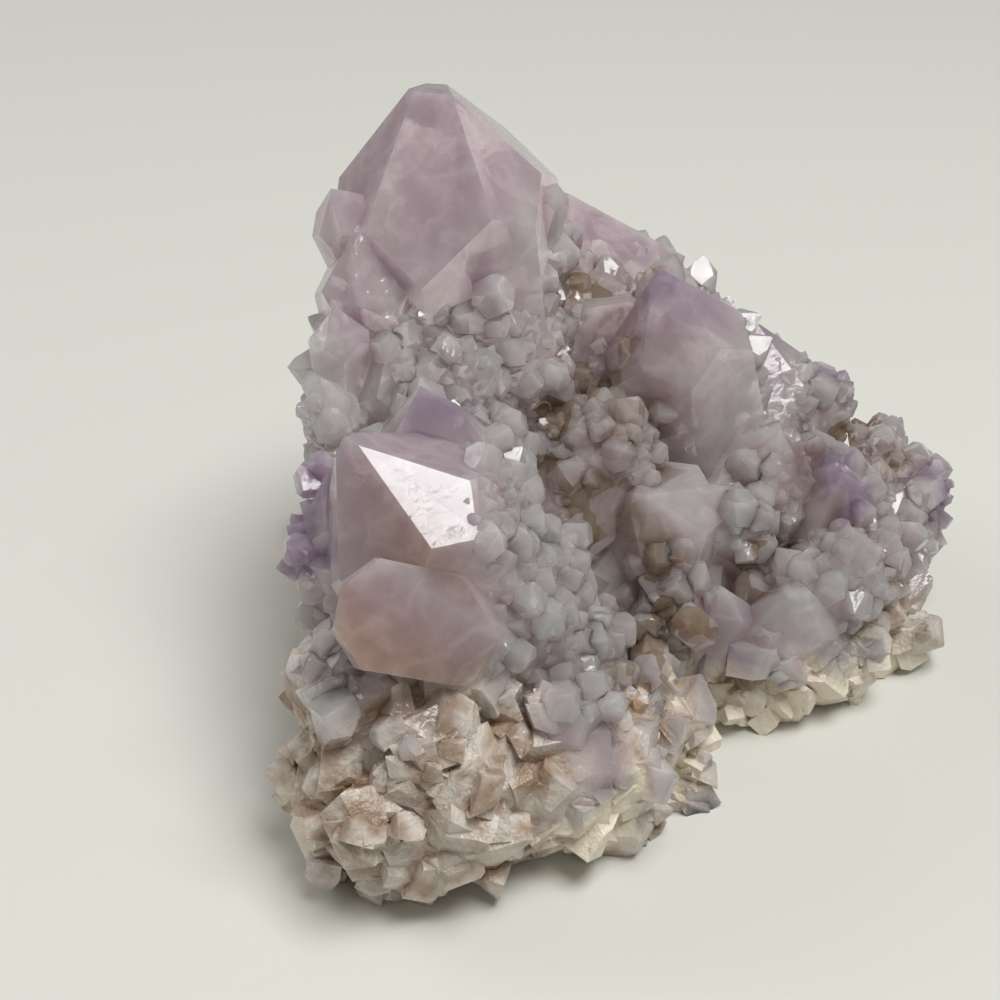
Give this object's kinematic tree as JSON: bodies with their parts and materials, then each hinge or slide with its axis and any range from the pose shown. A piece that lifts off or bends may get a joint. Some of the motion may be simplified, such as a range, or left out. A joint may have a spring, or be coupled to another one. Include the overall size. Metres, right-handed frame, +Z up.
{
  "type": "spirit quartz cluster",
  "caption": "Cluster of pale amethyst quartz points, coated with small crystals, that fan out from a broken milky quartz base and rest on a flat cut face.",
  "frame": {"origin": "middle of the bounding box on the flat face that the cluster rests on", "axes": "+Z up, towards the tip of the tallest point; -Y towards the side with the large points; +X towards the low lobe"},
  "size_m": [0.0996, 0.1042, 0.0866],
  "materials": {
    "quartz": "glassy crystal faces, milky and part see-through, over sugary broken quartz"
  },
  "bodies": {
    "root": {"quartz_cluster": "quartz"}
  },
  "joints": []
}
